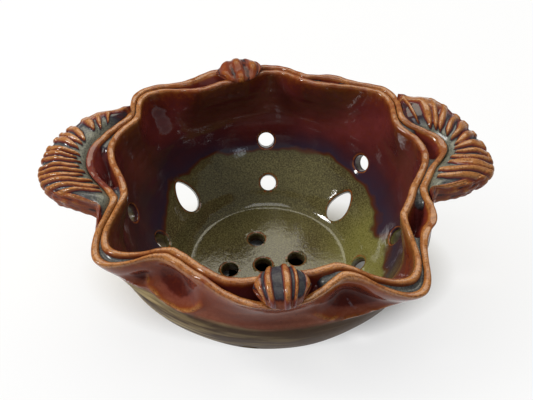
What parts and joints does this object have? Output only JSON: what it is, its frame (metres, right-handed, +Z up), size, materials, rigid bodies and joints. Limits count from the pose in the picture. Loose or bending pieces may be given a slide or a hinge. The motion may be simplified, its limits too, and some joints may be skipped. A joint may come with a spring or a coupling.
{
  "type": "berry bowl",
  "caption": "Thrown stoneware berry bowl with drain holes in floor and wall, a ruffled split rim, ridged fan handles and ridged buttons that bridge the lips, on a notched foot ring.",
  "frame": {"origin": "on the table, under the middle of the whole outline", "axes": "+X along the handles towards the right one, +Y to the back, +Z up"},
  "size_m": [0.1952, 0.1526, 0.0837],
  "materials": {
    "body_glaze": "gloss, red-brown breaking to olive on the floor",
    "rim_glaze": "gloss, orange-tan on edges, grey-green in the hollows",
    "foot_glaze": "gloss, dark olive-brown, bare clay on the standing face"
  },
  "bodies": {
    "root": {"bowl_body": "body_glaze", "outer_rim": "rim_glaze", "foot_ring": "foot_glaze", "handle_left": "rim_glaze", "handle_right": "rim_glaze", "button_front": "rim_glaze", "button_back": "rim_glaze"}
  },
  "joints": []
}
